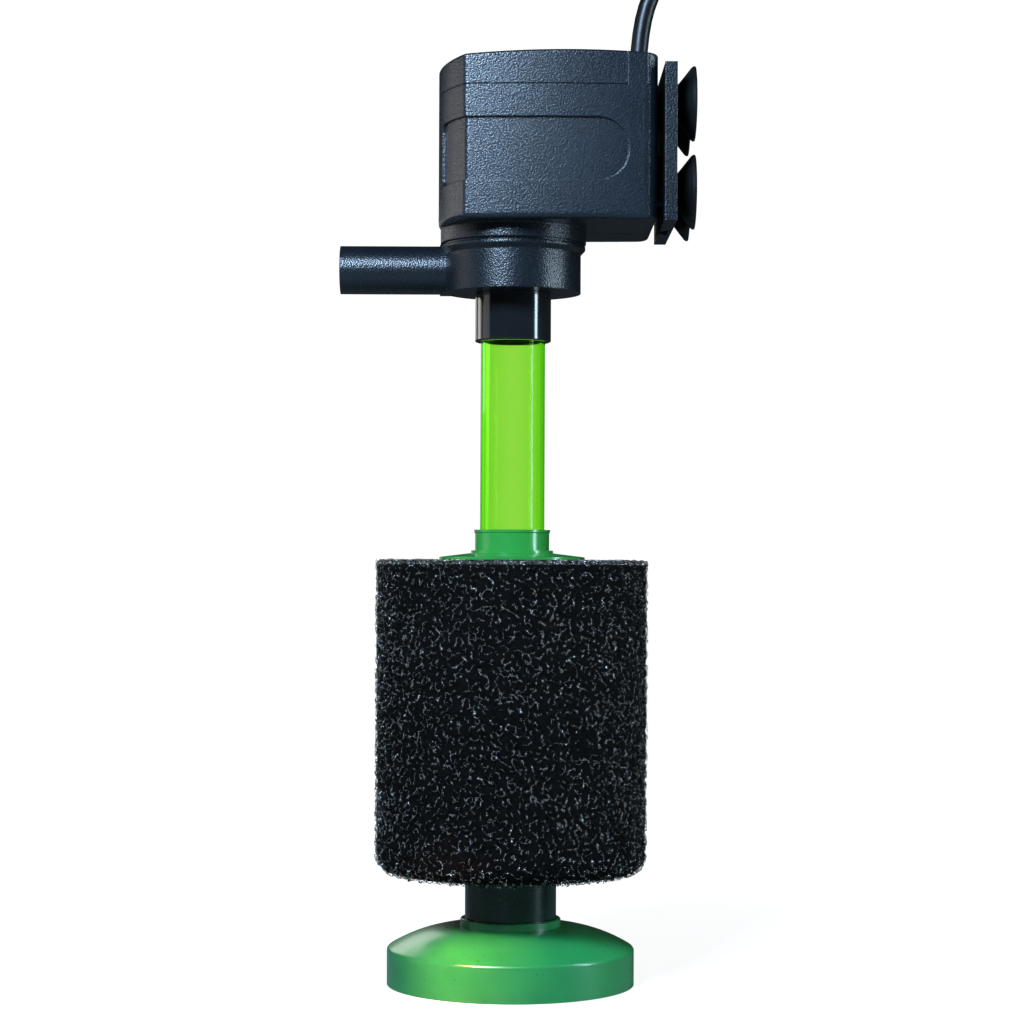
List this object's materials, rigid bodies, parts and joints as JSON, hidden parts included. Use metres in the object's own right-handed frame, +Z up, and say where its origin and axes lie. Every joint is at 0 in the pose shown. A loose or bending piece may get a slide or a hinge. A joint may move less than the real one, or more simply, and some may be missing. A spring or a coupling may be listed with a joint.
{
  "type": "internal aquarium power filter",
  "caption": "Upright internal filter: pump head with suction bracket and side outlet, clear extension tube, sponge cylinder on a slotted core, weighted base disc, mains cord with plug",
  "frame": {"origin": "centre of the base's flat underside, on the axis of the tube", "axes": "+Z up along the tube, +X towards the suction cups, -X along the outlet nozzle, -Y towards the front"},
  "size_m": [0.3103, 0.0924, 0.3737],
  "materials": {
    "base_green": "glossy",
    "core_green": "glossy",
    "flange_green": "glossy",
    "clear_green": "clear glossy",
    "foam": "open-cell foam",
    "gloss_black": "glossy",
    "slate": "fine grained",
    "black_grain": "fine grained",
    "rubber": "soft",
    "cord_black": "satin",
    "steel": "plain",
    "laminations": "plain",
    "bobbin_white": "plain",
    "copper": "enamelled wire",
    "ferrite": "plain",
    "ceramic": "polished",
    "resin": "cast",
    "impeller_white": "plain",
    "pin_metal": "bright"
  },
  "bodies": {
    "filter": {"base_disc": "base_green", "ballast_ring": "steel", "base_plate": "base_green", "core_tube": "core_green", "top_flange": "flange_green", "extension_tube": "clear_green", "inlet_sleeve": "gloss_black", "pump_housing": "slate", "top_cover": "slate", "cable_gland": "rubber", "stator_core": "laminations", "bobbin_front": "bobbin_white", "winding_front": "copper", "bobbin_back": "bobbin_white", "winding_back": "copper", "potting": "resin", "upper_bush": "rubber", "volute_seal": "rubber", "shaft": "ceramic", "power_cord": "cord_black", "cord_coil": "cord_black", "coil_tie": "cord_black", "plug_body": "cord_black", "plug_pin_left": "pin_metal", "plug_pin_right": "pin_metal"},
    "volute": {"volute_cover": "black_grain", "lower_bush": "rubber"},
    "rotor": {"rotor_magnet": "ferrite", "impeller": "impeller_white"},
    "bracket": {"bracket_plate": "slate", "suction_cup_1": "rubber", "suction_cup_2": "rubber", "suction_cup_3": "rubber", "suction_cup_4": "rubber"},
    "sponge_body": {"sponge": "foam"}
  },
  "joints": [
    {"name": "rotor_spin", "type": "hinge", "parent": "filter", "child": "rotor", "pos_m": [0, 0, 0.26], "axis": [0, 0, 1], "continuous": true},
    {"name": "outlet_twist", "type": "hinge", "parent": "filter", "child": "volute", "pos_m": [0, 0, 0.24], "axis": [0, 0, 1], "range_deg": [0, 25]},
    {"name": "bracket_slide", "type": "slide", "parent": "filter", "child": "bracket", "axis": [0, 0, 1], "range_m": [0, 0.016]},
    {"name": "sponge_slide", "type": "slide", "parent": "filter", "child": "sponge_body", "axis": [0, 0, -1], "range_m": [0, 0.014]}
  ]
}
